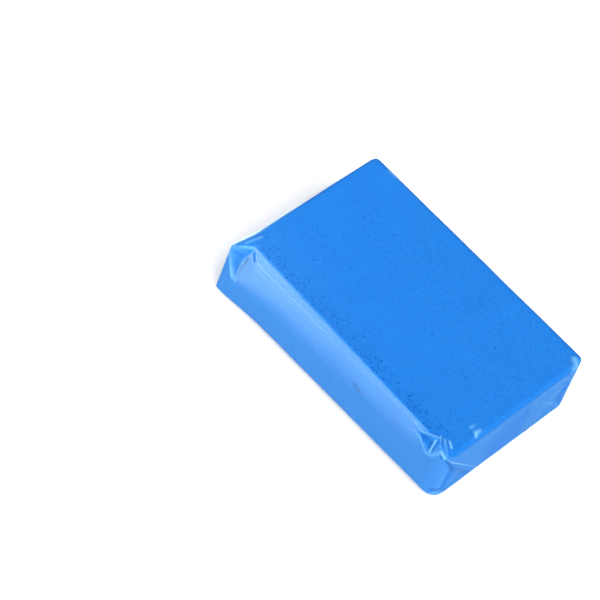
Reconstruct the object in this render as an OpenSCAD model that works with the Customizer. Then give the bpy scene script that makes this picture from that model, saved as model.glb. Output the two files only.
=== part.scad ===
// Detailing clay bar in a folded sheet of clear film.
//
// The clay is one block with rounded corners and edges. The film is one rectangular sheet. It is
// rolled round the block as a sleeve, with a lap seam along the underside, and each end is closed
// with an envelope fold: two tucks from the sides, a flap from below, then a flap from above.
// Every panel of the sheet that lies between two creases is a solid of its own.
//
// The top flap of each end is the outermost one. It opens about the crease along its upper edge,
// and takes the two gussets folded under its slanting edges with it.
//
// Millimetres. X runs along the bar, Y across it and Z up. The origin is on the surface the bar
// rests on, under its middle.

/* [Clay block] */
// Length of the clay
clay_l = 70.6; // [50:0.1:110]
// Width of the clay
clay_w = 46.6; // [36:0.1:80]
// Height of the clay
clay_h = 18; // [12:0.1:24]
// Radius of the four upright corners
clay_corner_r = 3.2; // [2.5:0.1:5]
// Radius of the edges round the top face
clay_top_r = 2.4; // [1:0.1:2.4]
// Radius of the edges round the bottom face
clay_bottom_r = 1.2; // [0.6:0.1:2]

/* [Film] */
// Thickness of the film
film_t = 0.06; // [0.05:0.01:0.12]
// Air between the clay and the film
air_gap = 0.15; // [0.1:0.01:0.3]
// Air between two plies of film that lie on each other
ply_gap = 0.02; // [0.02:0.01:0.05]

/* [Lap seam] */
// Width of the film's sealed overlap
seam_w = 10; // [6:0.5:16]

/* [End folds] */
// How far a closed flap's free edge stops short of the crease it reaches towards
flap_short = 0.6; // [0.2:0.1:4]
// Air between a closed top flap's gussets and the bottom flap behind them
flap_air = 0.12; // [0.1:0.01:0.4]
// Room left between a tuck and the creases above and below it
tuck_room = 0.1; // [0.05:0.05:0.5]

/* [Hidden] */

$fn = 96;
clay_colour = [0.11, 0.46, 0.9];
film_colour = [0.8, 0.9, 1.0, 0.35];

// The clay lies on the sleeve's bottom wall, which lies on the seam lap.
ply = film_t + ply_gap;
clay_z = ply + film_t + air_gap;

// The flat part of an end face, where the folds lie.
end_x = clay_l / 2 + air_gap;
flat_y = clay_w / 2 - clay_corner_r;
flat_low = clay_z + clay_bottom_r;
flat_high = clay_z + clay_h - clay_top_r;

// How far the sheet reaches past the end of the bar before it is folded. Each crease runs in at
// 45 degrees from its corner, so this is also how far a flap narrows on each side.
fold_d = flat_high - flat_low - flap_short;

// Where each layer of an end fold starts, outwards from the clay.
tuck_x = end_x;
bottom_gusset_x = tuck_x + ply;
bottom_flap_x = bottom_gusset_x + ply;
top_gusset_x = bottom_flap_x + film_t + flap_air;
top_flap_x = top_gusset_x + ply;

// ---- The rounded slab that the clay and the film sleeve share -------------------------------

// Half of a slab's section: it reaches out from x = 0, with its outer edges rounded.
module half_section(reach, height, top_r, bottom_r) {
    intersection() {
        square([reach, height]);
        union() {
            translate([0, bottom_r])
                square([reach, height - top_r - bottom_r]);
            square([reach - bottom_r, height / 2]);
            translate([0, height / 2])
                square([reach - top_r, height / 2]);
            translate([reach - bottom_r, bottom_r])
                circle(bottom_r);
            translate([reach - top_r, height - top_r])
                circle(top_r);
        }
    }
}

module full_section(width, height, top_r, bottom_r) {
    half_section(width / 2, height, top_r, bottom_r);
    mirror([1, 0])
        half_section(width / 2, height, top_r, bottom_r);
}

// A slab with upright corners of radius corner_r and rounded top and bottom edges.
module slab(length, width, height, corner_r, top_r, bottom_r) {
    rotate([90, 0, 90])
        linear_extrude(length - 2 * corner_r, center = true)
            full_section(width, height, top_r, bottom_r);
    rotate([90, 0, 0])
        linear_extrude(width - 2 * corner_r, center = true)
            full_section(length, height, top_r, bottom_r);
    for (side_x = [-1, 1], side_y = [-1, 1])
        translate([side_x * (length / 2 - corner_r), side_y * (width / 2 - corner_r), 0])
            rotate_extrude()
                half_section(corner_r, height, top_r, bottom_r);
}

// The clay's own shape, grown by off on every side.
module clay_grown(off) {
    translate([0, 0, clay_z - off])
        slab(clay_l + 2 * off, clay_w + 2 * off, clay_h + 2 * off,
             clay_corner_r + off, clay_top_r + off, clay_bottom_r + off);
}

// ---- Clay -----------------------------------------------------------------------------------

module clay_block() {
    color(clay_colour)
        clay_grown(0);
}

// ---- Film round the bar ---------------------------------------------------------------------

// The flat part of an end wall, which the sleeve leaves to the end folds.
module end_window() {
    translate([end_x - film_t, -flat_y, flat_low])
        cube([3 * film_t, 2 * flat_y, flat_high - flat_low]);
}

module film_sleeve() {
    color(film_colour)
        difference() {
            clay_grown(air_gap + film_t);
            clay_grown(air_gap);
            end_window();
            mirror([1, 0, 0])
                end_window();
        }
}

// The sheet's outer margin, sealed over its inner margin along the underside.
module film_seam_lap() {
    seam_l = clay_l - 2 * clay_corner_r;
    color(film_colour)
        translate([-seam_l / 2, -seam_w / 2, 0])
            cube([seam_l, seam_w, film_t]);
}

// ---- End folds, drawn on the +X end ---------------------------------------------------------

// A flat panel of film that starts at x. Its outline is given as [y, z] points.
module end_panel(x, outline) {
    color(film_colour)
        translate([x, 0, 0])
            rotate([90, 0, 90])
                linear_extrude(film_t)
                    polygon(outline);
}

// A side wall's end, turned in flat against the clay. side is -1 near and 1 far.
module tuck(side) {
    low = flat_low + tuck_room;
    high = flat_high - tuck_room;
    end_panel(tuck_x, [
        [side * flat_y, low],
        [side * flat_y, high],
        [side * (flat_y - fold_d), high],
        [side * (flat_y - fold_d), low]
    ]);
}

// The triangles folded under a flap's slanting edges. up is 1 above the crease and -1 below it.
module gussets(x, crease_z, up) {
    for (side = [-1, 1])
        end_panel(x, [
            [side * flat_y, crease_z],
            [side * (flat_y - fold_d), crease_z],
            [side * (flat_y - fold_d), crease_z + up * fold_d]
        ]);
}

// A flap, wide at its crease and narrower at its free edge.
module flap(x, crease_z, up) {
    end_panel(x, [
        [-flat_y, crease_z],
        [flat_y, crease_z],
        [flat_y - fold_d, crease_z + up * fold_d],
        [-flat_y + fold_d, crease_z + up * fold_d]
    ]);
}

module bottom_gussets() {
    gussets(bottom_gusset_x, flat_low, 1);
}

module bottom_flap() {
    flap(bottom_flap_x, flat_low, 1);
}

module top_gussets() {
    gussets(top_gusset_x, flat_high, -1);
}

module top_flap() {
    flap(top_flap_x, flat_high, -1);
}

module on_left() {
    mirror([1, 0, 0])
        children();
}

// ---- Nodes ----------------------------------------------------------------------------------

clay_block();
film_sleeve();
film_seam_lap();
tuck(-1);  // right_near_tuck
tuck(1);  // right_far_tuck
bottom_gussets();  // right_bottom_gussets
bottom_flap();  // right_bottom_flap
top_gussets();  // right_top_gussets
top_flap();  // right_top_flap
on_left() tuck(-1);  // left_near_tuck
on_left() tuck(1);  // left_far_tuck
on_left() bottom_gussets();  // left_bottom_gussets
on_left() bottom_flap();  // left_bottom_flap
on_left() top_gussets();  // left_top_gussets
on_left() top_flap();  // left_top_flap
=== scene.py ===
"""A bar of detailing clay in a folded sheet of clear film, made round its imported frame."""

import math

import bpy
import numpy as np
from mathutils import Matrix, Vector, noise


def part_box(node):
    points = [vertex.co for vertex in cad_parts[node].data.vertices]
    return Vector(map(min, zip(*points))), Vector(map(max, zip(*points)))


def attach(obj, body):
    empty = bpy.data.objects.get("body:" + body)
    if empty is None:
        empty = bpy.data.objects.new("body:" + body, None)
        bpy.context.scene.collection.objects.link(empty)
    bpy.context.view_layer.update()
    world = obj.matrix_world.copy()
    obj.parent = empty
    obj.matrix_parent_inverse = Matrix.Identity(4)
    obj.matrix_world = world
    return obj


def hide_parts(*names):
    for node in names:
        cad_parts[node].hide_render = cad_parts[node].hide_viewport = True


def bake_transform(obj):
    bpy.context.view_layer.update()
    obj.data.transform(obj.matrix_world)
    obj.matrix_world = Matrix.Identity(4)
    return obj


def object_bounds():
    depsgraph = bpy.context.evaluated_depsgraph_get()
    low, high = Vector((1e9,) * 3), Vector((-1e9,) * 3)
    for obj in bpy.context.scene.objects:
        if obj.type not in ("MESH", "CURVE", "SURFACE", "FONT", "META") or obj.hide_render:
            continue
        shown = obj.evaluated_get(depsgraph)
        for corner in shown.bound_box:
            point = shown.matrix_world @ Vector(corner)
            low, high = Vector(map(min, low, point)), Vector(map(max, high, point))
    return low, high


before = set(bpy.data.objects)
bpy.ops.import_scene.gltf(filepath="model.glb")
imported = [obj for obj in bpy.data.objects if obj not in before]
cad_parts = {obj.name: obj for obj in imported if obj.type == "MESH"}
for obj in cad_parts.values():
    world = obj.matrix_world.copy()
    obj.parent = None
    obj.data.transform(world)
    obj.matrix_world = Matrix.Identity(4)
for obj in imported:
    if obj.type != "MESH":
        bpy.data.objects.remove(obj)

bl_info = {
    "name": "Wrapped clay bar",
    "version": (1, 0, 0),
    "blender": (4, 5, 0),
    "location": "View3D > Sidebar > Clay Bar",
    "description": "Makes a bar of detailing clay in folded clear film",
    "category": "Add Mesh",
}

MM = 0.001
CAD_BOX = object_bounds()
CLAY_LOW = np.array(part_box("clay_block")[0])
FILM_LOW, FILM_HIGH = (np.array(corner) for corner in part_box("film_sleeve"))
FLAP_LOW, FLAP_HIGH = (np.array(corner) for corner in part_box("right_top_flap"))
INNER_LOW, INNER_HIGH = (np.array(corner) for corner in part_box("right_bottom_flap"))
SEAM_LOW, SEAM_HIGH = (np.array(corner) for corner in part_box("film_seam_lap"))
ENDS = {"right": 1, "left": -1}


# ---- Settings -------------------------------------------------------------------------------

def length(name, text, default):
    """A length that a user can set, in metres."""
    return bpy.props.FloatProperty(
        name=name, description=text, default=default, min=0.0, precision=5,
        subtype="DISTANCE", unit="LENGTH")


def colour(name, text, default):
    """A linear colour that a user can set."""
    return bpy.props.FloatVectorProperty(
        name=name, description=text, default=default, size=3, min=0.0, max=1.0, subtype="COLOR")


class ClaySettings(bpy.types.PropertyGroup):
    """Sizes and colours of the clay."""

    body: colour("Clay", "Main colour of the clay", (0.0105, 0.114, 0.378))
    shade: colour("Clay shade", "Colour of the clay's darker patches", (0.0085, 0.094, 0.332))
    # This colour also paints the shade along creases, hollows and folds.
    pit_and_crease_shade: colour("Pit", "Colour of the pits in the clay's surface", (0.003, 0.045, 0.2))
    corner: length("Corner", "Radius of the clay's upright corners", 3.2 * MM)
    ear: length("Ear", "Radius of the clay's near left upright corner", 1.3 * MM)
    far_corner: length("Far corner", "Radius of the clay's far upright corners", 2.4 * MM)
    edge: length("Edge", "Radius of the clay's plain edges", 1.2 * MM)
    belly: length("Belly", "Radius of the clay's near bottom edge", 3.2 * MM)
    grid: length("Grid", "Spacing of the clay's mesh near its edges", 0.55 * MM)
    waviness: length("Waviness", "Height of the gentle unevenness of the clay's faces", 0.1 * MM)
    wave_size: length("Wave size", "Width of the bumps in that unevenness", 11 * MM)


class BubbleSettings(bpy.types.PropertyGroup):
    """The air bubbles in the clay's upper surface."""

    colour: colour("Bubble", "Colour seen in a bubble", (0.0025, 0.045, 0.2))
    smallest: length("Smallest", "Radius of the smallest bubbles", 0.08 * MM)
    largest: length("Largest", "Radius of the largest bubbles", 0.27 * MM)
    band: length("Band", "Width of the strip along the near edge where bubbles crowd", 9 * MM)
    crowd: bpy.props.FloatProperty(
        name="Crowd", description="Bubbles per square metre in the crowded strip", default=7.5e6)
    stray: bpy.props.FloatProperty(
        name="Stray", description="Bubbles per square metre elsewhere", default=0.07e6)
    seed: bpy.props.IntProperty(name="Seed", description="Changes where the bubbles fall", default=7)


class FilmSettings(bpy.types.PropertyGroup):
    """Sizes and finish of the film."""

    shine: colour("Shine", "Colour of what the film mirrors", (1.0, 1.0, 1.0))
    # The haze's colour, which also paints pale highlights along creases and fold rims.
    haze_highlight_colour: colour("Milk", "Colour of what the film scatters", (0.46, 0.98, 1.0))
    wall: length("Wall", "Thickness of the film", 0.04 * MM)
    corner: length("Corner", "Radius of the film at the upright corners", 3.0 * MM)
    ear: length("Ear", "Radius of the film at the near left upright corner", 0.5 * MM)
    far_corner: length("Far corner", "Radius of the film at its far upright corners", 2.2 * MM)
    edge: length("Edge", "Radius of the film at its plain long edges", 1.2 * MM)
    belly: length("Belly", "Radius of the film at its near bottom edge", 3.2 * MM)
    crease: length("Crease", "Radius of the film where an end fold starts", 0.9 * MM)
    grid: length("Grid", "Spacing of the film's mesh near its edges", 0.36 * MM)
    mirror: bpy.props.FloatProperty(
        name="Mirror", description="Share of light that one face of the film reflects square on",
        default=0.035, min=0.0, max=1.0)
    slant: bpy.props.FloatProperty(
        name="Slant", description="Share of light that one face of the film reflects edge on",
        default=0.5, min=0.0, max=1.0)
    cling: bpy.props.FloatProperty(
        name="Cling", description="Share of its gloss that the film keeps where it clings to the clay",
        default=0.07, min=0.0, max=1.0)
    # On the loose band this haze is partly a painted highlight.
    haze: bpy.props.FloatProperty(
        name="Haze", description="Share of light that the film scatters where it lies loose",
        default=0.026, min=0.0, max=1.0)
    roughness: bpy.props.FloatProperty(
        name="Roughness", description="Roughness of the film's gloss", default=0.07, min=0.0, max=1.0)


class StageSettings(bpy.types.PropertyGroup):
    """The camera, the lights and the floor."""

    azimuth: bpy.props.FloatProperty(
        name="Azimuth", description="Way the camera looks from, round the bar",
        default=math.radians(29.4), subtype="ANGLE")
    elevation: bpy.props.FloatProperty(
        name="Elevation", description="Height the camera looks from", default=math.radians(51.4),
        subtype="ANGLE")
    roll: bpy.props.FloatProperty(
        name="Roll", description="Lean of the camera", default=math.radians(21.1), subtype="ANGLE")
    distance: length("Distance", "From the camera to the middle of the bar", 0.585)
    aim_right: length("Aim right", "How far right of the view's centre the bar stands", 23.2 * MM)
    aim_down: length("Aim down", "How far below the view's centre the bar stands", 5.9 * MM)
    lens: bpy.props.FloatProperty(
        name="Lens", description="Focal length of the lens, in millimetres", default=150.0)
    floor: colour("Floor", "Colour of the floor", (0.66, 0.66, 0.66))


# ---- Shapes ---------------------------------------------------------------------------------

# A surface is found by moving the points of a box towards a core inside it. These are the core's
# depth, the most of the box that its depth may take, where the search starts as a share of the way
# out, and how often it halves its step.
CORE_DEPTH = 10 * MM
CORE_SHARE = 0.45
SEARCH_START = 1.02
SEARCH_STEPS = 22

# How much larger that box is than the film's own, so that the film can bulge past its own box.
SPREAD = np.array([1.05, 1.08, 1.04])


def spaced(*spans):
    """Grid lines through spans of (from, to, step), which follow on from one another."""
    lines = [spans[0][0]]
    for start, end, step in spans:
        lines.extend(np.linspace(start, end, max(1, math.ceil((end - start) / step)) + 1)[1:])
    return np.array(lines)


def box_grid(lines):
    """The points and quads of a box's surface, cut along the given lines, all facing out."""
    points, quads, count = [], [], 0
    for axis in range(3):
        across, up = (axis + 1) % 3, (axis + 2) % 3
        for end in (0, -1):
            u, v = np.meshgrid(lines[across], lines[up], indexing="ij")
            face = np.empty(u.shape + (3,))
            face[..., axis] = lines[axis][end]
            face[..., across] = u
            face[..., up] = v
            index = np.arange(u.size).reshape(u.shape) + count
            quad = np.stack([index[:-1, :-1], index[1:, :-1], index[1:, 1:], index[:-1, 1:]], axis=-1)
            quad = quad.reshape(-1, 4)
            quads.append(quad if end else quad[:, ::-1])
            points.append(face.reshape(-1, 3))
            count += u.size
    points = np.concatenate(points)
    _, first, index = np.unique(np.round(points, 8), axis=0, return_index=True, return_inverse=True)
    return points[first], index.reshape(-1)[np.concatenate(quads)]


def within_edge(u, v, reach_u, reach_v, bend=2.0):
    """True where a point that is u inside one wall and v inside the next is inside their rounded edge."""
    p = np.clip(1 - u / reach_u, 0, None)
    q = np.clip(1 - v / reach_v, 0, None)
    return p ** bend + q ** bend <= 1


def shrink(points, low, high, holds):
    """Points on the box from low to high, moved inwards until holds() is true, and which way is out."""
    depth = np.minimum(CORE_DEPTH, (high - low) * CORE_SHARE)
    core = np.clip(points, low + depth, high - depth)
    inside, outside = np.zeros(len(points)), np.full(len(points), SEARCH_START)
    for _ in range(SEARCH_STEPS):
        middle = (inside + outside) / 2
        held = holds(core + middle[:, None] * (points - core))
        inside = np.where(held, middle, inside)
        outside = np.where(held, outside, middle)
    away = points - core
    away /= np.linalg.norm(away, axis=1)[:, None]
    return core + inside[:, None] * (points - core), away


def unevenness(points, size, height, seed):
    """A smooth random height at each point, in bumps of about that size."""
    shift = Vector((seed * 13.7, seed * 7.1, seed * 3.3))
    return height * np.array([noise.noise(Vector(point) / size + shift) for point in points])


def ramp(value, start, end):
    """0 before start, 1 past end, and a smooth step between."""
    share = np.clip((value - start) / (end - start), 0, 1)
    return share * share * (3 - 2 * share)


# The near top edge is soft. At seven places along the bar, these are how far it reaches over the top
# and down the side, and how square it is.
EDGE_X = np.array([-36.3, -32.9, -29.5, 24.0, 28.5, 32.0, 36.3]) * MM
EDGE_OVER = np.array([0.3, 5.0, 4.9, 2.1, 1.9, 1.4, 0.5]) * MM
EDGE_DOWN = np.array([0.3, 10.6, 9.8, 7.4, 6.6, 3.6, 0.5]) * MM
EDGE_BEND = np.array([1.05, 1.35, 1.8, 2.0, 1.9, 1.5, 1.2])

# The clay under that edge keeps inside it, and is rounder beside the near right corner.
CLAY_OVER = np.array([1.1, 5.5, 5.2, 2.1, 2.0, 2.0, 2.6]) * MM
CLAY_DOWN = np.array([1.1, 11.2, 10.2, 7.4, 6.8, 5.6, 4.0]) * MM
CLAY_BEND = np.array([1.05, 1.3, 1.7, 1.95, 2.0, 2.0, 2.0])

# Where the film's ends lie, how far out each layer of an end fold lies, and how far inside the
# film the clay lies.
FILM_END = FILM_HIGH[0] + 0.45 * MM
CLAY_END = FILM_END - 0.05 * MM
LAYERS = {
    "tuck": FILM_END + 0.03 * MM,
    "inner_gussets": FILM_END + 0.09 * MM,
    "inner_flap": FILM_END + 0.15 * MM,
    "outer_gussets": FILM_END + 0.23 * MM,
    "outer_flap": FILM_END + 0.31 * MM,
}
CLAY_INSET = 0.12 * MM

# How much of a top flap bends at its crease when it opens.
CREASE_BEND = 1.2 * MM

# Heights below a top flap's crease between which the film stands out to it, and how far from the
# middle it goes back in.
CREASE_BELOW = (2.5 * MM, 0.2 * MM)
CREASE_SIDES = (21 * MM, 23.2 * MM)

# How the bar departs from a box: its top rises to the left and falls to the near left corner, its
# far side bulges and spreads to the left, its ends lean, and the near left corner stands out.
LEFT_RISE = 0.35 * MM
NEAR_LEFT_FALL = 1.6 * MM
FAR_BULGE = 0.6 * MM
FAR_SPREAD = 0.75 * MM
END_LEAN = 0.6 * MM
EAR_REACH = 0.85 * MM
EAR_SPAN = (15 * MM, 23 * MM)

# How much wider the near right corner's radius is at the underside than at the top, as a share of it.
CORNER_FLARE = 0.8

# The near bottom edge is tight at the left end, and opens to its full radius between these places.
BELLY_X = (-34 * MM, -24 * MM)
FILM_TIGHT_BELLY = 0.5 * MM
CLAY_TIGHT_BELLY = 1.2 * MM

# The bar's rounded edges, apart from the soft one: the two walls of each, and the name of its radius.
ROUNDED_EDGES = (
    ("far", "top", "edge"), ("near", "bottom", "belly"), ("far", "bottom", "edge"),
    ("end", "near", "near_corner"), ("end", "far", "far_corner"),
    ("end", "top", "end_edge"), ("end", "bottom", "end_edge"),
)


def top_height(x, y):
    """The height of the film's top, which falls towards the near left corner."""
    along = np.clip((FILM_HIGH[0] - x) / (2 * FILM_HIGH[0]), 0, 1)
    across = np.clip((FILM_HIGH[1] - y) / (2 * FILM_HIGH[1]), 0, 1)
    return FILM_HIGH[2] + LEFT_RISE * along - NEAR_LEFT_FALL * along * across ** 1.5


def far_side(x):
    """Where the film's far side lies, which spreads a little towards the left end."""
    return FILM_HIGH[1] + FAR_BULGE + FAR_SPREAD * np.clip(0.5 - x / (2 * FILM_HIGH[0]), 0, 1)


def end_lean(z):
    """How much further the ends reach towards the underside."""
    return END_LEAN * (1 - np.clip(z / FILM_HIGH[2], 0, 1))


def ear(x, y):
    """How much further the left end reaches towards its near corner."""
    return np.where(x < 0, EAR_REACH * ramp(-y, *EAR_SPAN), 0.0)


def near_right_corner(settings, z):
    """The radius of the near right upright corner at height z."""
    return settings.corner * (1 + CORNER_FLARE - CORNER_FLARE * z / FILM_HIGH[2])


def film_end(y, z):
    """How far the film reaches along the bar: it stands out to the top flap's crease along the top."""
    lift = ramp(z, FLAP_HIGH[2] - CREASE_BELOW[0], FLAP_HIGH[2] - CREASE_BELOW[1])
    lift = lift * (1 - ramp(np.abs(y), *CREASE_SIDES))
    return FILM_END + end_lean(z) + lift * (LAYERS["outer_flap"] - FILM_END)


def inside_bar(x, z, inside, soft, settings, tight_belly, end_edge):
    """True where a point is inside every wall and every rounded edge.

    inside says how far inside each wall it is, and soft is the near top edge's reach over the top,
    its reach down the side and its bend, each at the places in EDGE_X.
    """
    radius = {
        "edge": settings.edge,
        "belly": np.interp(x, BELLY_X, (tight_belly, settings.belly)),
        "near_corner": np.where(x < 0, settings.ear, near_right_corner(settings, z)),
        "far_corner": settings.far_corner,
        "end_edge": end_edge,
    }
    over, down, bend = (np.interp(x, EDGE_X, values) for values in soft)
    held = within_edge(inside["near"], inside["top"], over, down, bend)
    for depth in inside.values():
        held = held & (depth >= 0)
    for wall, other, name in ROUNDED_EDGES:
        held = held & within_edge(inside[wall], inside[other], radius[name], radius[name])
    return held


def film_holds(settings):
    """A test of which points lie inside the film."""
    def holds(p):
        x, y, z = p.T
        inside = {
            "end": film_end(y, z) + ear(x, y) - np.abs(x),
            "near": y - FILM_LOW[1],
            "far": far_side(x) - y,
            "top": top_height(x, y) - z,
            "bottom": z - FILM_LOW[2],
        }
        soft = (EDGE_OVER, EDGE_DOWN, EDGE_BEND)
        return inside_bar(x, z, inside, soft, settings, FILM_TIGHT_BELLY, settings.crease)
    return holds


def clay_holds(settings):
    """A test of which points lie inside the clay."""
    def holds(p):
        x, y, z = p.T
        inside = {
            "end": CLAY_END + end_lean(z) + ear(x, y) - np.abs(x),
            "near": y - FILM_LOW[1] - CLAY_INSET,
            "far": far_side(x) - CLAY_INSET - y,
            "top": top_height(x, y) - CLAY_INSET - z,
            "bottom": z - FILM_LOW[2] - CLAY_INSET,
        }
        soft = (CLAY_OVER, CLAY_DOWN, CLAY_BEND)
        return inside_bar(x, z, inside, soft, settings, CLAY_TIGHT_BELLY, settings.edge)
    return holds


# ---- Materials ------------------------------------------------------------------------------

def new_material(name):
    """An empty node material, its tree and its output."""
    material = bpy.data.materials.new(name)
    material.use_nodes = True
    tree = material.node_tree
    tree.nodes.clear()
    return material, tree, tree.nodes.new("ShaderNodeOutputMaterial")


def add(tree, kind, **values):
    """A new node with its inputs set by name."""
    node = tree.nodes.new(kind)
    for name, value in values.items():
        node.inputs[name.replace("_", " ")].default_value = value
    return node


def object_noise(tree, place, scale, detail=3.0, roughness=0.5):
    """A noise texture on the object's own coordinates."""
    node = add(tree, "ShaderNodeTexNoise", Scale=scale, Detail=detail, Roughness=roughness)
    tree.links.new(place.outputs["Object"], node.inputs["Vector"])
    return node


def calculate(tree, operation, first, second, third=None):
    """A Math node. Each value is a number or an output."""
    node = tree.nodes.new("ShaderNodeMath")
    node.operation = operation
    for socket, value in zip(node.inputs, (first, second, third)):
        if isinstance(value, bpy.types.NodeSocket):
            tree.links.new(value, socket)
        elif value is not None:
            socket.default_value = value
    return node.outputs[0]


def between(tree, value, start, end, low=0.0, high=1.0):
    """A Map Range node from start and end to low and high."""
    node = add(tree, "ShaderNodeMapRange")
    for socket, number in zip(list(node.inputs)[1:5], (start, end, low, high)):
        socket.default_value = number
    tree.links.new(value, node.inputs["Value"])
    return node.outputs["Result"]


def mixed_colour(tree, share, first, second):
    """A colour Mix node. Each colour is a value or an output."""
    node = tree.nodes.new("ShaderNodeMix")
    node.data_type = "RGBA"
    tree.links.new(share, node.inputs["Factor"])
    for socket, value in zip((node.inputs[6], node.inputs[7]), (first, second)):
        if isinstance(value, bpy.types.NodeSocket):
            tree.links.new(value, socket)
        else:
            socket.default_value = (*value, 1.0)
    return node.outputs[2]


def painted(tree, name):
    """What a piece's points hold under that name."""
    node = tree.nodes.new("ShaderNodeAttribute")
    node.attribute_name = name
    return node.outputs["Fac"]


def clay_material(settings):
    """Smooth, slightly greasy blue clay with fine grain and small pits, darkened by painted shade along the
    film's creases and hollows, beside its folds, and at a few marks.
    """
    material, tree, output = new_material("detailing_clay")
    place = tree.nodes.new("ShaderNodeTexCoord")
    patches = object_noise(tree, place, 90.0)
    grain = object_noise(tree, place, 2200.0, detail=2.0)
    specks = add(tree, "ShaderNodeTexVoronoi", Scale=900.0)
    tree.links.new(place.outputs["Object"], specks.inputs["Vector"])
    pits = between(tree, specks.outputs["Distance"], 0.1, 0.22, 1.0, 0.0)
    rare = between(tree, object_noise(tree, place, 260.0).outputs["Fac"], 0.52, 0.62)
    pits = calculate(tree, "MULTIPLY", pits, rare)
    blotch = calculate(tree, "MULTIPLY_ADD", patches.outputs["Fac"], 0.2, grain.outputs["Fac"])
    blotch = between(tree, blotch, 0.45, 0.75)
    base = mixed_colour(tree, blotch, tuple(settings.body), tuple(settings.shade))
    base = mixed_colour(tree, calculate(tree, "MULTIPLY", pits, 0.55), base, tuple(settings.pit_and_crease_shade))
    # Painted shade: darker along creases and hollows and beside folds, where shade falls, and at a few
    # marks.
    base = mixed_colour(tree, painted(tree, "groove"), base, tuple(settings.pit_and_crease_shade))
    shader = add(tree, "ShaderNodeBsdfPrincipled", IOR=1.06)
    tree.links.new(base, shader.inputs["Base Color"])
    rough = between(tree, grain.outputs["Fac"], 0.3, 0.7, 0.42, 0.58)
    tree.links.new(rough, shader.inputs["Roughness"])
    height = calculate(tree, "MULTIPLY_ADD", grain.outputs["Fac"], 0.3, patches.outputs["Fac"])
    height = calculate(tree, "MULTIPLY_ADD", pits, -0.5, height)
    bump = add(tree, "ShaderNodeBump", Strength=0.14, Distance=0.05 * MM)
    tree.links.new(height, bump.inputs["Height"])
    tree.links.new(bump.outputs["Normal"], shader.inputs["Normal"])
    tree.links.new(shader.outputs[0], output.inputs["Surface"])
    return material


def bubble_material(settings):
    """The dark spot of an air bubble in the clay."""
    material, tree, output = new_material("air_bubble")
    place = tree.nodes.new("ShaderNodeTexCoord")
    tone = object_noise(tree, place, 1500.0)
    base = mixed_colour(
        tree, between(tree, tone.outputs["Fac"], 0.35, 0.65),
        tuple(settings.colour), tuple(2.2 * value for value in settings.colour))
    shader = add(tree, "ShaderNodeBsdfPrincipled", Roughness=0.35, IOR=1.06)
    tree.links.new(base, shader.inputs["Base Color"])
    bump = add(tree, "ShaderNodeBump", Strength=0.2, Distance=0.03 * MM)
    tree.links.new(tone.outputs["Fac"], bump.inputs["Height"])
    tree.links.new(bump.outputs["Normal"], shader.inputs["Normal"])
    tree.links.new(shader.outputs[0], output.inputs["Surface"])
    return material


def film_material(settings):
    """Thin clear film: it shows what is behind it, and mirrors more the flatter it is seen. Its pale haze is
    partly real scatter and partly painted highlight along creases, fold rims and the loose band.
    """
    material, tree, output = new_material("clear_film")
    place = tree.nodes.new("ShaderNodeTexCoord")
    slack = object_noise(tree, place, 130.0, detail=1.0)
    wrinkles = object_noise(tree, place, 700.0, detail=2.0)
    height = calculate(tree, "MULTIPLY_ADD", wrinkles.outputs["Fac"], 0.06, slack.outputs["Fac"])
    bump = add(tree, "ShaderNodeBump", Strength=0.35, Distance=0.12 * MM)
    tree.links.new(height, bump.inputs["Height"])
    gloss = add(tree, "ShaderNodeBsdfPrincipled", Metallic=1.0)
    gloss.inputs["Base Color"].default_value = (*settings.shine, 1.0)
    rough = between(
        tree, wrinkles.outputs["Fac"], 0.3, 0.7, 0.6 * settings.roughness, 1.4 * settings.roughness)
    tree.links.new(rough, gloss.inputs["Roughness"])
    tree.links.new(bump.outputs["Normal"], gloss.inputs["Normal"])
    clear = add(tree, "ShaderNodeBsdfTransparent")
    clear.inputs["Color"].default_value = (0.985, 0.992, 1.0, 1.0)
    facing = add(tree, "ShaderNodeLayerWeight", Blend=0.5)
    tree.links.new(bump.outputs["Normal"], facing.inputs["Normal"])
    slant = calculate(tree, "POWER", facing.outputs["Facing"], 5.0)
    share = calculate(tree, "MULTIPLY_ADD", slant, settings.slant - settings.mirror, settings.mirror)
    share = calculate(tree, "MULTIPLY", share, painted(tree, "gloss"))
    mix = tree.nodes.new("ShaderNodeMixShader")
    tree.links.new(share, mix.inputs["Fac"])
    tree.links.new(clear.outputs[0], mix.inputs[1])
    tree.links.new(gloss.outputs[0], mix.inputs[2])
    # The pale haze painted on the points is partly real scatter and partly painted highlight.
    pale_haze_highlight = add(tree, "ShaderNodeBsdfDiffuse")
    pale_haze_highlight.inputs["Color"].default_value = (*settings.haze_highlight_colour, 1.0)
    haze_highlight_mix = tree.nodes.new("ShaderNodeMixShader")
    tree.links.new(painted(tree, "haze"), haze_highlight_mix.inputs["Fac"])
    tree.links.new(mix.outputs[0], haze_highlight_mix.inputs[1])
    tree.links.new(pale_haze_highlight.outputs[0], haze_highlight_mix.inputs[2])
    tree.links.new(haze_highlight_mix.outputs[0], output.inputs["Surface"])
    return material


def floor_material(settings):
    """Plain pale floor."""
    material, tree, output = new_material("pale_floor")
    shader = add(tree, "ShaderNodeBsdfPrincipled", Roughness=0.9)
    shader.inputs["Base Color"].default_value = (*settings.floor, 1.0)
    tree.links.new(shader.outputs[0], output.inputs["Surface"])
    return material


def shared_material(name, make, settings):
    """The material of that name, made the first time it is asked for."""
    return bpy.data.materials.get(name) or make(settings)


# ---- Pieces ---------------------------------------------------------------------------------

# How much of a crease's height the clay under it takes, and how often the clay is smoothed after.
CLAY_FOLLOWS = 0.85
CLAY_SMOOTHINGS = 2

# How much of a point's distance straight out from a crease is left out, so that a crease with
# straight ends is still found on a bulging edge, and how soon a hollow loses its gloss.
OUTWARDS_LEFT_OUT = 0.85
HOLLOW_DULLING = 1.5

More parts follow.
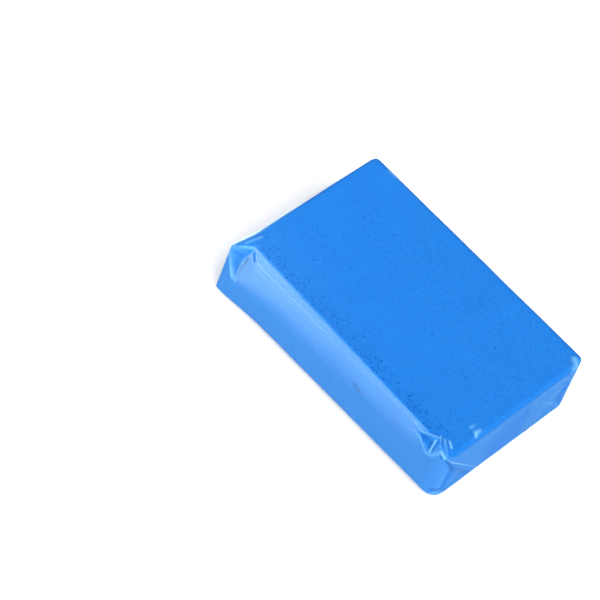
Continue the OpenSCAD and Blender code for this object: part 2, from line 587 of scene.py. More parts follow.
# The size and height of the slack in the film.
SLACK_SIZE = 9 * MM
SLACK_HEIGHT = 0.05 * MM

# Where the film turns into the right end's crease, and the heights above which a side is no longer
# upright: the first is below the top at that place, the second below the film's highest.
TURN_X = (33.6 * MM, 34.8 * MM)
TURN_Z = (15.5 * MM, 17.0 * MM)
UPRIGHT_BELOW = 1.2 * MM
UPRIGHT_BELOW_HIGHEST = 0.3 * MM

# Shares of the film's finish: gloss that it gains where it lies loose and loses in that turn, haze
# on its upright sides, and a pale painted highlight at a crease for each unit of its value in CREASES.
LOOSE_GLOSS = 0.52
TURN_GLOSS_LOST = 0.9
UPRIGHT_HAZE = 0.75
CREASE_HIGHLIGHT = 0.048

# The band of loose film: where it starts and ends along the bar, where on the way down it fades,
# and how strong it is. The last two change between two places along the bar.
BAND_START = (-33.4 * MM, -32.4 * MM)
BAND_END = (25 * MM, 29 * MM)
FADE_X = (-33 * MM, -22 * MM)
FADE_FROM = (0.78, 0.34)
FADE_TO = 0.96
STRENGTH_X = (-33 * MM, 0.0)
STRENGTH = (1.4, 0.88)

# How far past its own box a panel of an end fold reaches sideways.
FLAP_PAST = 1.9 * MM
GUSSET_PAST = 1.7 * MM
TUCK_PAST = 1.7 * MM

# How far a flap bellies out, its free edge curls out and its slanting edges turn in, in millimetres,
# and how much more those edges slant than its depth.
FLAP_BELLY = 0.28
FLAP_CURL = 0.35
FLAP_TURN = 0.12
FLAP_SLANT = 0.4 * MM

# The size and height of a flap's wrinkles, and the shares of belly and wrinkles on an inner flap.
WRINKLE_SIZE = 5 * MM
WRINKLE_HEIGHT = 0.16 * MM
INNER_BELLY = 0.25
INNER_WRINKLES = 0.3

# The shares of a flap's width over which its edges turn in and its rim fades, and what a share of
# its depth counts as for the rim.
TURN_WIDTH = 0.012
RIM_WIDTH = (0.004, 0.02)
RIM_DEPTH = 0.4

# The gloss and haze of a flap's face, and what its rim adds to them. The rim's extra haze is partly the
# whiter folded edge and partly a painted highlight along it.
FLAP_FINISH = {
    "outer": {"gloss": (0.03, 0.4), "haze": (0.007, 0.07)},
    "inner": {"gloss": (0.01, 0.1), "haze": (0.003, 0.02)},
}

# The share of an inner gusset's depth that is left off at each end, and its least height as a share.
GUSSET_TRIM = 0.15
GUSSET_LEAST = 0.004

# How far a tuck draws in past its outer edge, in millimetres, and over what share of its width.
TUCK_DRAW = 0.02
TUCK_DRAW_WIDTH = 0.2

# Bubbles: how rare the large ones are, how flat they all are, how fast they thin out from the edge,
# and how much their number varies and over what size.
BUBBLE_SKEW = 3.5
BUBBLE_FLATNESS = 0.3
CROWD_FALL = 3.5
PATCH_MIDDLE = 0.75
PATCH_SPREAD = 0.6
PATCH_SIZE = 6 * MM

# The depths below the top between which bubbles thin out, the fewest for each square metre wherever
# there are any, and the height below which there are none.
TOP_DEPTHS = (0.9 * MM, 0.5 * MM)
FEWEST_BUBBLES = 0.012e6
LOWEST_BUBBLE = 3 * MM

# Seeds of the uneven surfaces. A flap's own is one more at the right end and one less at the left.
CLAY_SEED = 3
SLACK_SEED = 5
PATCH_SEED = 9
OUTER_SEED = 2
INNER_SEED = 4


def mesh_piece(name, points, faces, material, **shares):
    """A smooth mesh object at the origin, with its place in its mesh and the given shares on its points."""
    mesh = bpy.data.meshes.new(name)
    mesh.from_pydata([tuple(point) for point in points], [], [tuple(map(int, face)) for face in faces])
    mesh.shade_smooth()
    mesh.materials.append(material)
    for title, values in shares.items():
        mesh.attributes.new(title, "FLOAT", "POINT").data.foreach_set("value", np.array(values, dtype=float))
    piece = bpy.data.objects.new(name, mesh)
    bpy.context.scene.collection.objects.link(piece)
    return piece


def give_wall(piece, wall):
    """Gives a clear sheet its thickness, inwards from the face it was drawn on.

    The sheet throws no shadow and takes no part in diffuse light, which would need more clear
    surfaces behind one another than a renderer follows.
    """
    piece.visible_shadow = False
    piece.visible_diffuse = False
    solid = piece.modifiers.new("wall", "SOLIDIFY")
    solid.thickness = wall
    solid.offset = -1.0
    solid.use_even_offset = False


def settle(piece, node, body):
    """Puts a finished piece on its body, in place of its node."""
    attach(piece, body)
    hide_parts(node)


def smoothed(points, quads, rounds, share=0.5):
    """The points after each has moved towards the mean of its neighbours, that many times."""
    edges = np.concatenate([quads[:, [0, 1]], quads[:, [1, 2]], quads[:, [2, 3]], quads[:, [3, 0]]])
    edges = np.unique(np.sort(edges, axis=1), axis=0)
    count = np.bincount(edges.reshape(-1), minlength=len(points))[:, None]
    for _ in range(rounds):
        total = np.zeros_like(points)
        np.add.at(total, edges[:, 0], points[edges[:, 1]])
        np.add.at(total, edges[:, 1], points[edges[:, 0]])
        points = points + share * (total / count - points)
    return points


def make_clay(settings):
    """The block of clay."""
    grid, fine = settings.grid, 0.5 * settings.grid
    lines = [
        spaced((FILM_LOW[0], -0.029, fine), (-0.029, 0.006, 1.2 * MM), (0.006, 0.0105, fine),
               (0.0105, 0.0195, 1.2 * MM), (0.0195, 0.0212, fine), (0.0212, 0.025, 1.2 * MM),
               (0.025, FILM_HIGH[0], 0.7 * fine)),
        spaced((FILM_LOW[1], -0.018, 0.7 * fine), (-0.018, -0.01, 0.8 * grid), (-0.01, 0.018, 1.2 * MM),
               (0.018, FILM_HIGH[1], grid)),
        spaced((FILM_LOW[2], 0.005, fine), (0.005, 0.012, 0.8 * grid), (0.012, FILM_HIGH[2], 0.7 * fine)),
    ]
    box, quads = box_grid(lines)
    clay, away = shrink(box * SPREAD, FILM_LOW * SPREAD, FILM_HIGH * SPREAD, clay_holds(settings))
    # The creases press into the clay and paint its shade under them.
    height, _, _, groove = crumpled(clay, away)
    clay = clay + away * height[:, None] * CLAY_FOLLOWS
    clay = smoothed(clay, quads, CLAY_SMOOTHINGS)
    clay = clay - away * np.abs(unevenness(clay, settings.wave_size, settings.waviness, CLAY_SEED))[:, None]
    piece = mesh_piece(
        "clay", clay, quads, shared_material("detailing_clay", clay_material, settings), groove=groove)
    settle(piece, "clay_block", "wrapped_bar")
    return piece


# Creases of the film, in millimetres: each has its two ends, its width, how far it
# stands out, how pale a painted highlight it gets along it, and how dark the clay is painted under it,
# as painted shade in its hollow or beside its fold, or as a mark.
CREASES = {
    "star upper ridge": ((26.0, -22.6, 17.1), (30.4, -21.0, 18.4), 0.22, 0.22, 1.4, 0.0),
    "star lower ridge": ((25.8, -22.9, 16.8), (30.0, -23.4, 14.0), 0.24, 0.25, 1.5, 0.0),
    "star foot": ((30.0, -23.4, 14.0), (31.4, -23.5, 14.5), 0.3, 0.2, 1.7, 0.0),
    "star right foot": ((31.5, -23.5, 14.8), (32.9, -23.1, 17.0), 0.6, 0.12, 1.1, 0.0),
    "star hollow": ((27.9, -22.8, 16.7), (29.8, -22.8, 16.6), 0.95, -0.55, 0.0, 0.2),
    "star hollow tip": ((26.8, -22.8, 16.9), (27.6, -23.0, 16.4), 0.3, -0.1, 0.0, 0.7),
    "lens": ((30.5, -22.1, 18.3), (30.75, -23.35, 15.1), 0.26, 0.3, 2.2, 0.0),
    "lens shade": ((31.0, -22.0, 18.3), (31.3, -23.4, 15.4), 0.16, -0.25, 0.0, 0.9),
    "lens left shade": ((30.0, -22.6, 17.4), (30.2, -23.3, 15.2), 0.16, -0.2, 0.0, 0.6),
    "star right ridge": ((30.4, -20.5, 18.4), (32.4, -22.4, 18.0), 0.2, 0.22, 1.6, 0.0),
    "star right tip": ((33.2, -22.9, 17.7), (34.8, -22.9, 16.8), 0.34, 0.3, 2.6, 0.0),
    "star right shade": ((31.0, -20.7, 18.4), (33.4, -22.7, 17.9), 0.17, -0.2, 0.0, 0.7),
    "tip shade": ((33.7, -23.3, 16.8), (34.1, -23.3, 16.5), 0.28, -0.15, 0.0, 0.8),
    "corner facet": ((31.7, -20.4, 18.4), (34.6, -22.6, 17.9), 0.34, 0.15, 1.1, 0.0),
    "corner shade": ((32.2, -20.1, 18.4), (35.0, -22.1, 18.0), 0.17, -0.15, 0.0, 0.6),
    "small lens": ((32.6, -19.8, 18.4), (34.0, -20.6, 18.5), 0.24, 0.3, 2.4, 0.0),
    "fleck": ((32.8, -13.1, 18.5), (34.2, -12.6, 18.5), 0.2, 0.1, 1.6, 0.0),
    "fleck side": ((34.1, -12.7, 18.5), (35.3, -13.8, 18.5), 0.3, 0.12, 2.4, 0.0),
    "fleck shade": ((33.5, -13.7, 18.5), (34.9, -14.3, 18.5), 0.2, -0.1, 0.0, 0.4),
    "near flap shade": ((36.0, -22.8, 14.3), (36.4, -10.6, 2.0), 0.3, 0.0, 0.0, 0.7),
    "near flap start": ((35.2, -22.9, 16.5), (36.1, -20.0, 12.1), 0.3, -0.15, 0.0, 0.7),
    "bottom fold": ((34.7, -22.3, 2.6), (35.9, -20.7, 2.7), 0.28, -0.4, 0.0, 0.9),
    "bottom fold end": ((35.9, -20.7, 2.7), (36.5, -17.9, 1.6), 0.24, -0.2, 0.0, 0.9),
    "bottom fold light": ((34.9, -22.1, 1.6), (36.2, -19.6, 1.6), 0.24, 0.1, 1.6, 0.0),
    "right end crease": ((35.2, -22.6, 16.6), (36.0, -19.4, 13.6), 0.3, 0.1, 1.2, 0.0),
    "ear crease": ((-33.0, -19.6, 17.0), (-33.2, -23.2, 9.0), 0.24, -0.3, 0.0, 1.0),
    "ear crease light": ((-32.55, -19.4, 17.1), (-32.7, -23.2, 8.9), 0.2, 0.06, 2.0, 0.0),
    "ear brim": ((-36.5, -23.2, 17.0), (-33.0, -19.3, 17.2), 0.22, 0.12, 2.2, 0.0),
    "ear side": ((-36.5, -23.3, 16.6), (-33.5, -23.4, 8.8), 0.26, 0.1, 2.0, 0.0),
    "ear foot": ((-33.1, -23.4, 8.6), (-32.0, -23.5, 8.4), 0.4, 0.2, 1.8, 0.0),
    "ear slit": ((-32.4, -19.8, 16.9), (-30.7, -20.7, 15.8), 0.24, -0.25, 0.0, 0.8),
    "ear slit light": ((-32.0, -19.3, 17.2), (-30.5, -20.1, 16.4), 0.22, 0.08, 1.4, 0.0),
    "ear dot": ((-34.7, -22.1, 15.4), (-34.5, -22.3, 15.2), 0.3, -0.1, 0.0, 0.9),
    "left brim": ((-36.5, -22.8, 17.2), (-35.9, -15.0, 17.7), 0.4, 0.06, 2.4, 0.0),
    "left brim end": ((-35.9, -15.0, 17.7), (-35.9, -1.0, 18.1), 0.4, 0.03, 1.7, 0.0),
    "left wrinkle": ((-34.8, -19.9, 17.4), (-34.0, -15.6, 17.6), 0.26, 0.12, 1.1, 0.0),
    "left wrinkle shade": ((-35.4, -17.5, 17.6), (-34.7, -14.6, 17.7), 0.2, -0.1, 0.0, 0.5),
    "far corner lens": ((34.0, 21.5, 18.4), (36.2, 19.5, 17.6), 0.5, 0.2, 1.6, 0.0),
    "far corner shade": ((33.3, 21.6, 18.4), (35.2, 19.2, 18.3), 0.25, -0.1, 0.0, 0.5),
    "far left streak": ((-30.2, 23.4, 18.6), (-27.6, 23.8, 18.4), 0.5, 0.05, 0.9, 0.0),
    "top dot": ((29.0, -18.6, 18.4), (29.1, -18.6, 18.4), 0.25, -0.05, 0.0, 0.9),
    "side mark": ((7.0, -23.4, 12.8), (9.2, -23.4, 11.8), 0.5, 0.0, 0.0, 0.8),
    "side mark end": ((20.1, -23.4, 13.9), (20.7, -23.4, 13.5), 0.3, 0.0, 0.0, 0.7),
}


def near_line(points, away, start, end, width):
    """1 on the line from start to end, falling to 0 over its width, as measured across the surface."""
    start, end = np.array(start) * MM, np.array(end) * MM
    way = end - start
    share = np.clip((points - start) @ way / (way @ way), 0, 1)
    gap = points - start - share[:, None] * way
    outwards = np.sum(gap * away, axis=1)
    gap = gap - OUTWARDS_LEFT_OUT * outwards[:, None] * away
    return np.exp(-(np.linalg.norm(gap, axis=1) / (width * MM)) ** 2)


def crumpled(points, away):
    """How far the film stands out, its pale haze of painted highlights along creases, how much gloss it
    loses, and the painted shade that darkens the clay.
    """
    height, haze, dull, groove = np.zeros((4, len(points)))
    for start, end, width, stand, pale_haze_highlight, dark in CREASES.values():
        here = near_line(points, away, start, end, width)
        height += here * stand * MM
        haze = np.maximum(haze, here * pale_haze_highlight)
        groove = np.maximum(groove, here * dark)
        if stand < 0:
            dull = np.maximum(dull, np.minimum(HOLLOW_DULLING * here, 1.0))
    return height, haze, dull, groove


def wrap_lines(settings):
    """The grid lines of the film round the bar, with a thin row beside each edge of its openings."""
    grid, rim = settings.grid, 0.05 * MM
    window_y, low_z, high_z = FLAP_HIGH[1], INNER_LOW[2], FLAP_HIGH[2]
    return [
        spaced((FILM_LOW[0], -0.0295, 0.55 * grid), (-0.0295, 0.0255, 2.0 * MM),
               (0.0255, FILM_HIGH[0], 0.45 * grid)),
        spaced((FILM_LOW[1], -window_y - rim, 0.45 * grid), (-window_y - rim, -window_y, rim),
               (-window_y, -0.0178, 0.45 * grid),
               (-0.0178, -0.0145, 1.8 * MM), (-0.0145, -0.0122, 0.6 * grid), (-0.0122, 0.019, 2.2 * MM),
               (0.019, window_y, 1.3 * grid), (window_y, window_y + rim, rim),
               (window_y + rim, FILM_HIGH[1], grid)),
        spaced((FILM_LOW[2], low_z - rim, grid), (low_z - rim, low_z, rim), (low_z, 0.0135, 1.3 * grid),
               (0.0135, high_z, 0.5 * grid), (high_z, high_z + rim, rim),
               (high_z + rim, FILM_HIGH[2], 0.45 * grid)),
    ]


def make_sleeve(settings):
    """The film round the bar, open at each end where the end folds lie."""
    window_y, low_z, high_z = FLAP_HIGH[1], INNER_LOW[2], FLAP_HIGH[2]
    points, quads = box_grid(wrap_lines(settings))
    middle = points[quads].mean(axis=1)
    at_end = np.abs(middle[:, 0]) > FILM_HIGH[0] - 1e-7
    window = at_end & (np.abs(middle[:, 1]) < window_y) & (middle[:, 2] > low_z) & (middle[:, 2] < high_z)
    quads = quads[~window]
    film, away = shrink(points * SPREAD, FILM_LOW * SPREAD, FILM_HIGH * SPREAD, film_holds(settings))
    height, pale_haze_highlight, dull, _ = crumpled(film, away)
    film = film + away * height[:, None]
    film = film + away * unevenness(film, SLACK_SIZE, SLACK_HEIGHT, SLACK_SEED)[:, None]
    x, y, z = film.T
    loose = soft_edge(film)
    turning = ramp(x, *TURN_X) * ramp(z, *TURN_Z)
    gloss = (settings.cling + LOOSE_GLOSS * loose) * (1 - dull) * (1 - TURN_GLOSS_LOST * turning)
    upright = 1 - ramp(z, top_height(x, y) - UPRIGHT_BELOW, FILM_HIGH[2] - UPRIGHT_BELOW_HIGHEST)
    # The haze is partly real scatter of loose film and partly painted highlight: on the loose band, and as
    # pale lines along the creases.
    haze = settings.haze * np.maximum(loose, UPRIGHT_HAZE * upright) * (1 - dull)
    haze = np.maximum(haze, CREASE_HIGHLIGHT * pale_haze_highlight)
    used, quads = np.unique(quads, return_inverse=True)
    piece = mesh_piece(
        "film_wrap", film[used], quads.reshape(-1, 4),
        shared_material("clear_film", film_material, settings),
        gloss=gloss[used], haze=haze[used])
    give_wall(piece, settings.wall)
    settle(piece, "film_sleeve", "wrapped_bar")
    return piece


def soft_edge(film):
    """1 where the film bridges the clay's near top edge without touching it, and 0 where it clings."""
    x, y, z = film.T
    over = np.interp(x, EDGE_X, EDGE_OVER)
    inset = y - FILM_LOW[1]
    down = top_height(x, y) - z
    from_top = 1 - ramp(inset, 0.9 * over, 1.0 * over)
    reach = np.interp(x, EDGE_X, EDGE_DOWN)
    fade = np.interp(x, FADE_X, FADE_FROM)
    to_side = 1 - ramp(down, fade * reach, FADE_TO * reach)
    strength = np.interp(x, STRENGTH_X, STRENGTH)
    inside = ramp(x, *BAND_START) * (1 - ramp(x, *BAND_END))
    return strength * from_top * to_side * inside


def sheet_grid(columns, rows):
    """Two shares from 0 to 1 for each point of a grid, and the grid's quads."""
    u, v = np.meshgrid(np.linspace(0, 1, columns), np.linspace(0, 1, rows), indexing="ij")
    index = np.arange(u.size).reshape(u.shape)
    quads = np.stack([index[:-1, :-1], index[1:, :-1], index[1:, 1:], index[:-1, 1:]], axis=-1)
    return u.reshape(-1), v.reshape(-1), quads.reshape(-1, 4)


def end_sheet(name, end, points, quads, finish, settings, node, body):
    """A panel of film on one end. Its points are drawn for the right end, with its quads facing out."""
    side = ENDS[end]
    points = points * np.array([side, 1, 1])
    quads = quads if side > 0 else quads[:, ::-1]
    piece = mesh_piece(
        name, points, quads, shared_material("clear_film", film_material, settings), **finish)
    give_wall(piece, settings.wall)
    if body == "wrapped_bar":
        settle(piece, node, body)
        return piece
    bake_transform(piece)
    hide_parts(node)
    return piece


def end_surface(y, z, end, settings, layer):
    """How far out the named layer of an end lies at y and z."""
    near = near_right_corner(settings, z) if end == "right" else settings.ear
    corner = np.where(y < 0, near, settings.far_corner)
    past = np.clip(np.abs(y) - (FILM_HIGH[1] - corner), 0, corner)
    drop = corner - np.sqrt(corner ** 2 - past ** 2)
    return LAYERS[layer] + end_lean(z) + ear(np.full(len(y), ENDS[end]), y) - drop


def make_flap(end, settings, upper):
    """An outer or an inner flap of one end, narrowing from its crease to its free edge."""
    low, high = (FLAP_LOW, FLAP_HIGH) if upper else (INNER_LOW, INNER_HIGH)
    layer = "outer" if upper else "inner"
    seed = (OUTER_SEED if upper else INNER_SEED) + ENDS[end]
    depth = high[2] - low[2]
    s, t, quads = sheet_grid(110, 46)
    reach = high[1] + FLAP_PAST
    half = reach - (depth + FLAP_SLANT) * t
    y = (2 * s - 1) * half
    z = high[2] - depth * t if upper else low[2] + depth * t
    x = end_surface(y, z, end, settings, f"{layer}_flap")
    belly = np.sin(math.pi * t) * (1 - (2 * s - 1) ** 2)
    x = x + (FLAP_BELLY * belly + FLAP_CURL * t ** 3) * MM * (1.0 if upper else INNER_BELLY)
    wrinkles = unevenness(np.stack([x, y, z], axis=-1), WRINKLE_SIZE, WRINKLE_HEIGHT, seed)
    x = x + wrinkles * ramp(t, 0.0, 0.25) * (1.0 if upper else INNER_WRINKLES)
    turned = 1 - ramp(np.minimum(s, 1 - s), 0.0, TURN_WIDTH)
    x = x - turned * FLAP_TURN * MM
    points = np.stack([x, y, z], axis=-1)
    if upper:
        quads = quads[:, ::-1]
    # The rim gets extra gloss and a pale haze, partly a painted highlight along the folded edge.
    rim = 1 - ramp(np.minimum(np.minimum(s, 1 - s), (1 - t) * RIM_DEPTH), *RIM_WIDTH)
    finish = {title: face + more * rim for title, (face, more) in FLAP_FINISH[layer].items()}
    node = f"{end}_{'top' if upper else 'bottom'}_flap"
    body = f"{end}_flap" if upper else "wrapped_bar"
    return end_sheet(f"{end}_{layer}_flap", end, points, quads, finish, settings, node, body)


def make_gussets(end, settings, upper):
    """The two triangles folded under a flap's slanting edges, as one piece."""
    low, high = (FLAP_LOW, FLAP_HIGH) if upper else (INNER_LOW, INNER_HIGH)
    layer = "outer" if upper else "inner"
    depth = high[2] - low[2]
    reach = high[1] + GUSSET_PAST
    started = 2 * CREASE_BEND / depth
    s, t, quads = sheet_grid(31, 30)
    parts, faces = [], []
    for side in (-1, 1):
        if upper:
            down = started + (1 - started) * t
            y = side * (reach - depth * (down + (1 - down) * s))
            z = high[2] - depth * down
        else:
            inset = GUSSET_TRIM + (1 - 2 * GUSSET_TRIM) * s
            y = side * (reach - depth * inset)
            z = low[2] + depth * (np.minimum(inset, 1 - inset) - GUSSET_TRIM + GUSSET_LEAST) * t
        x = end_surface(y, z, end, settings, f"{layer}_gussets")
        faces.append((quads if (side > 0) == upper else quads[:, ::-1]) + len(s) * len(parts))
        parts.append(np.stack([x, y, z], axis=-1))
    points, quads = np.concatenate(parts), np.concatenate(faces)
    finish = {"gloss": np.full(len(points), 0.01), "haze": np.full(len(points), 0.002)}
    node = f"{end}_{'top' if upper else 'bottom'}_gussets"
    body = f"{end}_flap" if upper else "wrapped_bar"
    return end_sheet(f"{end}_{layer}_gussets", end, points, quads, finish, settings, node, body)


def make_tuck(end, settings, far):
    """A side wall's end, turned in flat against the clay."""
    place = "far" if far else "near"
    low, high = (np.array(corner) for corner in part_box(f"right_{place}_tuck"))
    side = 1 if far else -1
    outer, inner = (high[1], low[1]) if far else (low[1], high[1])
    outer = outer + side * TUCK_PAST
    s, t, quads = sheet_grid(40, 40)
    y = outer + (inner - outer) * s
    z = low[2] + (high[2] - low[2]) * t
    x = end_surface(y, z, end, settings, "tuck")
    x = x - TUCK_DRAW * MM * ramp(s, 0.0, TUCK_DRAW_WIDTH)
    points = np.stack([x, y, z], axis=-1)
    quads = quads[:, ::-1] if side > 0 else quads
    finish = {"gloss": np.full(len(s), 0.01), "haze": 0.006 + 0.009 * ramp(s, 0.1, 0.3)}
    node = f"{end}_{place}_tuck"
    return end_sheet(f"{end}_{place}_fold", end, points, quads, finish, settings, node, "wrapped_bar")


def make_seam(settings):
    """The sealed overlap along the underside."""
    s, t, quads = sheet_grid(90, 20)
    x = SEAM_LOW[0] + (SEAM_HIGH[0] - SEAM_LOW[0]) * s
    y = SEAM_LOW[1] + (SEAM_HIGH[1] - SEAM_LOW[1]) * t
    z = np.full(len(s), SEAM_LOW[2])
    piece = mesh_piece(
        "seam_lap", np.stack([x, y, z], axis=-1), quads[:, ::-1],
        shared_material("clear_film", film_material, settings),
        gloss=np.full(len(s), 0.3), haze=np.full(len(s), 0.02))
    give_wall(piece, settings.wall)
    settle(piece, "film_seam_lap", "wrapped_bar")
    return piece


def bubble_tree(material):
    """Geometry Nodes that set small flat bubbles on a surface, by the density on its points."""
    tree = bpy.data.node_groups.new("air_bubbles", "GeometryNodeTree")
    add_socket = tree.interface.new_socket
    add_socket("Geometry", in_out="INPUT", socket_type="NodeSocketGeometry")
    sockets = {"Geometry": None}
    for name in ("Smallest", "Largest"):
        sockets[name] = add_socket(name, in_out="INPUT", socket_type="NodeSocketFloat")
    sockets["Seed"] = add_socket("Seed", in_out="INPUT", socket_type="NodeSocketInt")
    add_socket("Geometry", in_out="OUTPUT", socket_type="NodeSocketGeometry")
    start, end = tree.nodes.new("NodeGroupInput"), tree.nodes.new("NodeGroupOutput")
    link = tree.links.new

    density = tree.nodes.new("GeometryNodeInputNamedAttribute")
    density.data_type = "FLOAT"
    density.inputs["Name"].default_value = "density"
    scatter = tree.nodes.new("GeometryNodeDistributePointsOnFaces")
    link(start.outputs["Geometry"], scatter.inputs["Mesh"])
    link(density.outputs["Attribute"], scatter.inputs["Density"])
    link(start.outputs["Seed"], scatter.inputs["Seed"])

    share = tree.nodes.new("FunctionNodeRandomValue")
    share.data_type = "FLOAT"
    link(start.outputs["Seed"], share.inputs["Seed"])
    skewed = calculate(tree, "POWER", share.outputs[1], BUBBLE_SKEW)
    size = add(tree, "ShaderNodeMapRange")
    link(skewed, size.inputs["Value"])
    link(start.outputs["Smallest"], size.inputs["To Min"])
    link(start.outputs["Largest"], size.inputs["To Max"])

    ball = tree.nodes.new("GeometryNodeMeshIcoSphere")
    ball.inputs["Radius"].default_value = 1.0
    ball.inputs["Subdivisions"].default_value = 1
    flat = tree.nodes.new("GeometryNodeTransform")
    flat.inputs["Scale"].default_value = (1.0, 1.0, BUBBLE_FLATNESS)
    link(ball.outputs["Mesh"], flat.inputs["Geometry"])
    copies = tree.nodes.new("GeometryNodeInstanceOnPoints")
    link(scatter.outputs["Points"], copies.inputs["Points"])
    link(scatter.outputs["Rotation"], copies.inputs["Rotation"])
    link(flat.outputs["Geometry"], copies.inputs["Instance"])
    link(size.outputs["Result"], copies.inputs["Scale"])
    real = tree.nodes.new("GeometryNodeRealizeInstances")
    link(copies.outputs["Instances"], real.inputs["Geometry"])
    finish = tree.nodes.new("GeometryNodeSetMaterial")
    finish.inputs["Material"].default_value = material
    link(real.outputs["Geometry"], finish.inputs["Geometry"])
    link(finish.outputs["Geometry"], end.inputs["Geometry"])
    return tree, sockets


def make_bubbles(settings):
    """The air bubbles that show in the clay's surface."""
    clay = bpy.data.objects["clay"]
    host = clay.copy()
    host.data = clay.data.copy()
    bpy.context.scene.collection.objects.link(host)
    count = len(host.data.vertices)
    points = np.empty(count * 3)
    host.data.vertices.foreach_get("co", points)
    x, y, z = points.reshape(-1, 3).T
    inset = y - CLAY_LOW[1]
    on_top = ramp(z, top_height(x, y) - TOP_DEPTHS[0], top_height(x, y) - TOP_DEPTHS[1])
    edge = np.interp(x, EDGE_X, EDGE_OVER)
    thinned = (1 - ramp(inset, edge, edge + settings.band)) ** CROWD_FALL
    crowded = ramp(inset, 0.8 * edge, 1.2 * edge) * thinned
    patches = unevenness(points.reshape(-1, 3), PATCH_SIZE, PATCH_SPREAD, PATCH_SEED)
    patchy = np.clip(PATCH_MIDDLE + patches, 0, 1)
    density = on_top * (settings.crowd * crowded * patchy + settings.stray)
    density = np.where(z > LOWEST_BUBBLE, np.maximum(density, FEWEST_BUBBLES), 0.0)
    host.data.attributes.new("density", "FLOAT", "POINT").data.foreach_set("value", density)

    material = shared_material("air_bubble", bubble_material, settings)
    tree, sockets = bubble_tree(material)
    grow = host.modifiers.new("bubbles", "NODES")
    grow.node_group = tree
    grow[sockets["Smallest"].identifier] = settings.smallest
    grow[sockets["Largest"].identifier] = settings.largest
    grow[sockets["Seed"].identifier] = settings.seed
    grown = host.evaluated_get(bpy.context.evaluated_depsgraph_get())
    mesh = bpy.data.meshes.new_from_object(grown)
    bpy.data.objects.remove(host)
    bubbles = bpy.data.objects.new("air_bubbles", mesh)
    mesh.name = "air_bubbles"
    mesh.shade_smooth()
    bpy.context.scene.collection.objects.link(bubbles)
    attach(bubbles, "wrapped_bar")
    if not len(mesh.polygons):
        raise RuntimeError("no bubbles were made")
    return bubbles


# ---- Operators ------------------------------------------------------------------------------

class CLAYBAR_OT_clay(bpy.types.Operator):
    """Make the block of clay"""

    bl_idname = "clay_bar.clay"
    bl_label = "Clay"

    def execute(self, context):
        make_clay(context.scene.clay_bar_clay)
        return {"FINISHED"}


class CLAYBAR_OT_bubbles(bpy.types.Operator):
    """Make the air bubbles in the clay's surface"""

    bl_idname = "clay_bar.bubbles"
    bl_label = "Air bubbles"

    def execute(self, context):
        make_bubbles(context.scene.clay_bar_bubbles)
        return {"FINISHED"}


class CLAYBAR_OT_wrap(bpy.types.Operator):
    """Make the film round the bar and its seam"""

    bl_idname = "clay_bar.wrap"
    bl_label = "Film wrap"

    def execute(self, context):
        settings = context.scene.clay_bar_film
        make_sleeve(settings)
        make_seam(settings)
        return {"FINISHED"}


class CLAYBAR_OT_end_folds(bpy.types.Operator):
    """Make the tucks, gussets and flaps of both ends"""

    bl_idname = "clay_bar.end_folds"
    bl_label = "End folds"

    def execute(self, context):
        settings = context.scene.clay_bar_film
        for end in ENDS:
            for far in (False, True):
                make_tuck(end, settings, far)
            for upper in (False, True):
                make_gussets(end, settings, upper)
                make_flap(end, settings, upper)
        return {"FINISHED"}


class CLAYBAR_OT_stage(bpy.types.Operator):
    """Make the floor, the lights and the camera"""

    bl_idname = "clay_bar.stage"
    bl_label = "Stage"

    def execute(self, context):
        make_stage(context.scene.clay_bar_stage)
        return {"FINISHED"}


# The area lights: where each stands, what it faces, its size, and the brightness of its face.
LIGHTS = {
    "soft_box": ((-0.16, -0.36, 0.36), (0.0, 0.0, 0.01), (0.6, 0.5), 2.0),
    "front_card": ((-0.35, -0.62, 0.13), (0.0, 0.0, 0.1), (1.2, 0.28), 2.0),
    "left_card": ((-0.72, -0.1, 0.2), (0.0, 0.0, 0.1), (0.7, 0.4), 1.7),
    "back_card": ((-0.6, 0.42, 0.33), (0.0, 0.0, 0.02), (0.4, 0.4), 1.6),
}

# The wide light from above the near right: the way it shines, how wide it is, and its strength.
SUN_WAY = Vector((-0.62, 0.27, -0.74))
SUN_ANGLE = math.radians(70)
SUN_STRENGTH = 7.2

# The strength of the light from all round, and half the width of the floor.
ROOM_LIGHT = 0.22
FLOOR_HALF = 2.0


def area_light(name, place, target, size, strength):
    """A soft box at place that faces target, with strength as the brightness of its face."""
    data = bpy.data.lights.new(name, "AREA")
    data.shape = "RECTANGLE"
    data.size, data.size_y = size
    data.energy = strength * size[0] * size[1] * math.pi
    light = bpy.data.objects.new(name, data)
    light.location = place
    way = Vector(target) - Vector(place)
    light.rotation_euler = way.to_track_quat("-Z", "Y").to_euler()
    bpy.context.scene.collection.objects.link(light)


def make_floor(settings):
    """A plain pale floor."""
    half = FLOOR_HALF
    corners = [(-half, -half, 0.0), (half, -half, 0.0), (half, half, 0.0), (-half, half, 0.0)]
    floor = mesh_piece("floor", corners, [(0, 1, 2, 3)], floor_material(settings))


def make_lights():
    """Soft studio light: light from all round, soft boxes and one wide light."""
    scene = bpy.context.scene
    world = bpy.data.worlds.new("studio")
    world.use_nodes = True
    world.node_tree.nodes["Background"].inputs["Color"].default_value = (1.0, 1.0, 1.0, 1.0)
    world.node_tree.nodes["Background"].inputs["Strength"].default_value = ROOM_LIGHT
    scene.world = world
    for name, (place, target, size, strength) in LIGHTS.items():
        area_light(name, place, target, size, strength)
    sun = bpy.data.lights.new("overhead", "SUN")
    sun.angle = SUN_ANGLE
    sun.energy = SUN_STRENGTH
    overhead = bpy.data.objects.new("overhead", sun)
    overhead.rotation_euler = SUN_WAY.to_track_quat("-Z", "Y").to_euler()
    overhead.visible_glossy = False
    scene.collection.objects.link(overhead)


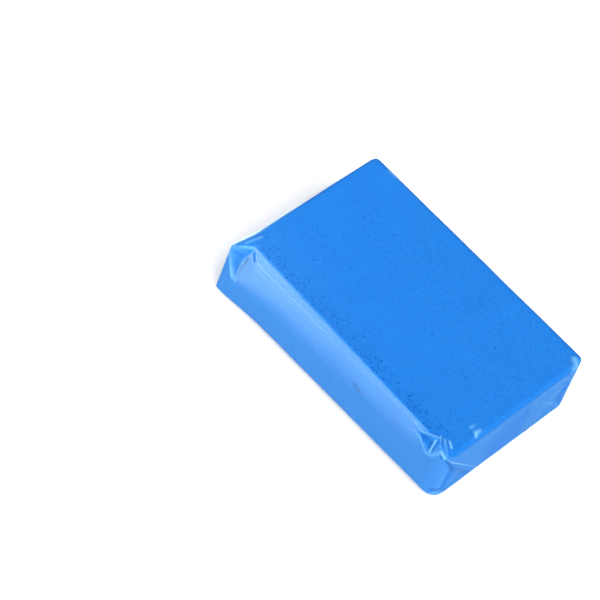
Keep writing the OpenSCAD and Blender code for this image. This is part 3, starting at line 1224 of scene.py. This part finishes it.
def make_camera(settings):
    """The camera, which looks at the middle of the bar and then steps aside from it."""
    azimuth, elevation = settings.azimuth, settings.elevation
    back = Vector((
        math.sin(azimuth) * math.cos(elevation),
        -math.cos(azimuth) * math.cos(elevation),
        math.sin(elevation)))
    right = Vector((math.cos(azimuth), math.sin(azimuth), 0.0))
    up = back.cross(right)
    turned_right = math.cos(settings.roll) * right + math.sin(settings.roll) * up
    turned_up = back.cross(turned_right)
    centre = Vector([(low + high) / 2 for low, high in zip(*CAD_BOX)])
    place = (
        centre + settings.distance * back
        - settings.aim_right * turned_right + settings.aim_down * turned_up)
    data = bpy.data.cameras.new("camera")
    data.lens = settings.lens
    data.sensor_width = 36.0
    data.clip_start = 0.01
    camera = bpy.data.objects.new("camera", data)
    turn = Matrix((turned_right, turned_up, back)).transposed()
    camera.matrix_world = Matrix.Translation(place) @ turn.to_4x4()
    bpy.context.scene.collection.objects.link(camera)
    bpy.context.scene.camera = camera


def make_stage(settings):
    """The floor, the lights and the camera."""
    bpy.context.scene.view_settings.view_transform = "Standard"
    make_floor(settings)
    make_lights()
    make_camera(settings)


class CLAYBAR_PT_panel(bpy.types.Panel):
    """Buttons that make the bar piece by piece"""

    bl_idname = "CLAYBAR_PT_panel"
    bl_label = "Clay Bar"
    bl_space_type = "VIEW_3D"
    bl_region_type = "UI"
    bl_category = "Clay Bar"

    def draw(self, context):
        for operator in OPERATORS:
            self.layout.operator(operator.bl_idname)


SETTINGS = {
    "clay_bar_clay": ClaySettings,
    "clay_bar_bubbles": BubbleSettings,
    "clay_bar_film": FilmSettings,
    "clay_bar_stage": StageSettings,
}
OPERATORS = (
    CLAYBAR_OT_clay, CLAYBAR_OT_bubbles, CLAYBAR_OT_wrap, CLAYBAR_OT_end_folds, CLAYBAR_OT_stage)


def register():
    for made in (*SETTINGS.values(), *OPERATORS, CLAYBAR_PT_panel):
        bpy.utils.register_class(made)
    for name, group in SETTINGS.items():
        setattr(bpy.types.Scene, name, bpy.props.PointerProperty(type=group))


def unregister():
    for name in SETTINGS:
        delattr(bpy.types.Scene, name)
    for made in (CLAYBAR_PT_panel, *reversed(OPERATORS), *SETTINGS.values()):
        bpy.utils.unregister_class(made)


def main():
    """Makes every piece."""
    register()
    bpy.ops.clay_bar.clay()
    bpy.ops.clay_bar.bubbles()
    bpy.ops.clay_bar.wrap()
    bpy.ops.clay_bar.end_folds()
    bpy.ops.clay_bar.stage()


if __name__ == "__main__":
    main()
